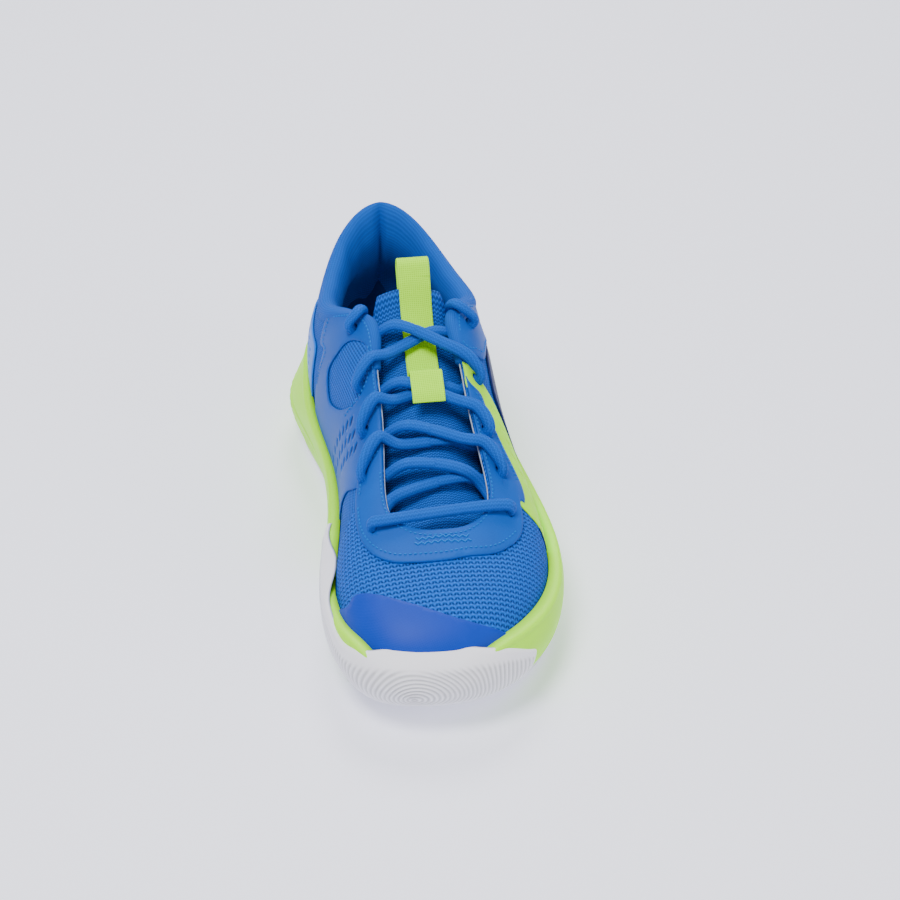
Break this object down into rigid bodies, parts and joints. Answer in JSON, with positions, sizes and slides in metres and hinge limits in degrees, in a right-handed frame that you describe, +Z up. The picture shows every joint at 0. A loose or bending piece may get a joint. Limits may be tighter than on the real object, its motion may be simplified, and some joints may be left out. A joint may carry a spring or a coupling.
{
  "type": "court shoe",
  "caption": "Low-cut laced court shoe for the left foot, with a knit upper, bonded overlays, a padded collar and a cupped foam sole.",
  "frame": {"origin": "on the floor under the middle of the sole", "axes": "+Z up, +Y from toe to heel, +X to the outer side of the left foot"},
  "size_m": [0.1158, 0.3035, 0.1247],
  "materials": {
    "midsole_foam": "moulded foam with a fine satin skin",
    "outsole_rubber": "moulded rubber with contour lines",
    "bumper_rubber": "moulded rubber with contour lines",
    "shank": "moulded nylon",
    "board": "needled board",
    "sockliner_foam": "knit bonded to foam",
    "vamp_knit": "coarse open knit",
    "quarter_knit": "ribbed knit",
    "toe_film": "fused film with a satin gloss",
    "facing": "smooth synthetic with stitching",
    "inner_film": "smooth synthetic with perforations",
    "wing_film": "fused film with slits",
    "side_film": "fused film",
    "collar_film": "smooth synthetic with stitching",
    "heel_film": "fused film with perforations",
    "strip_film": "webbing strip",
    "backing": "felted tape",
    "stiffener": "thermoplastic sheet",
    "lining": "brushed knit",
    "collar_knit": "fine ribbed knit",
    "padding": "open-cell foam",
    "tongue_knit": "open knit with light dots",
    "webbing": "woven webbing",
    "lace_cord": "braided cord",
    "aglet_plastic": "shrunk film tip"
  },
  "bodies": {
    "shoe": {"midsole": "midsole_foam", "outsole": "outsole_rubber", "toe_bumper": "bumper_rubber", "shank_plate": "shank", "insole_board": "board", "vamp_mesh": "vamp_knit", "outer_quarter_mesh": "quarter_knit", "inner_quarter_mesh": "quarter_knit", "toe_overlay": "toe_film", "eyestay": "facing", "inner_overlay": "inner_film", "outer_wing_overlay": "wing_film", "outer_side_panel": "side_film", "outer_collar_patch": "collar_film", "inner_heel_panel": "heel_film", "outer_heel_panel": "heel_film", "heel_strip": "strip_film", "eyelet_backing": "backing", "toe_puff": "stiffener", "heel_counter": "stiffener", "vamp_lining": "lining", "heel_lining": "lining", "collar_padding": "padding", "collar_lining": "collar_knit", "lace": "lace_cord", "aglets": "aglet_plastic"},
    "tongue": {"tongue_face": "tongue_knit", "tongue_padding": "padding", "tongue_lining": "lining", "tongue_webbing": "webbing"},
    "loop": {"pull_loop": "webbing"},
    "insole": {"sockliner": "sockliner_foam"}
  },
  "joints": [
    {"name": "tongue_tilt", "type": "hinge", "parent": "shoe", "child": "tongue", "pos_m": [0, -0.094, 0.046], "axis": [-1, 0, 0], "range_deg": [0, 8], "stiffness_Nm_per_rad": 0.8, "springref_deg": -2.86, "deforming": ["lace"]},
    {"name": "loop_flex", "type": "hinge", "parent": "tongue", "child": "loop", "pos_m": [0.0005, 0.0478, 0.1116], "axis": [1, 0, 0], "range_deg": [-30, 30], "stiffness_Nm_per_rad": 0.01},
    {"name": "sockliner_lift", "type": "hinge", "parent": "shoe", "child": "insole", "pos_m": [-0.01, -0.138, 0.018], "axis": [1, 0, 0], "range_deg": [0, 4]}
  ]
}
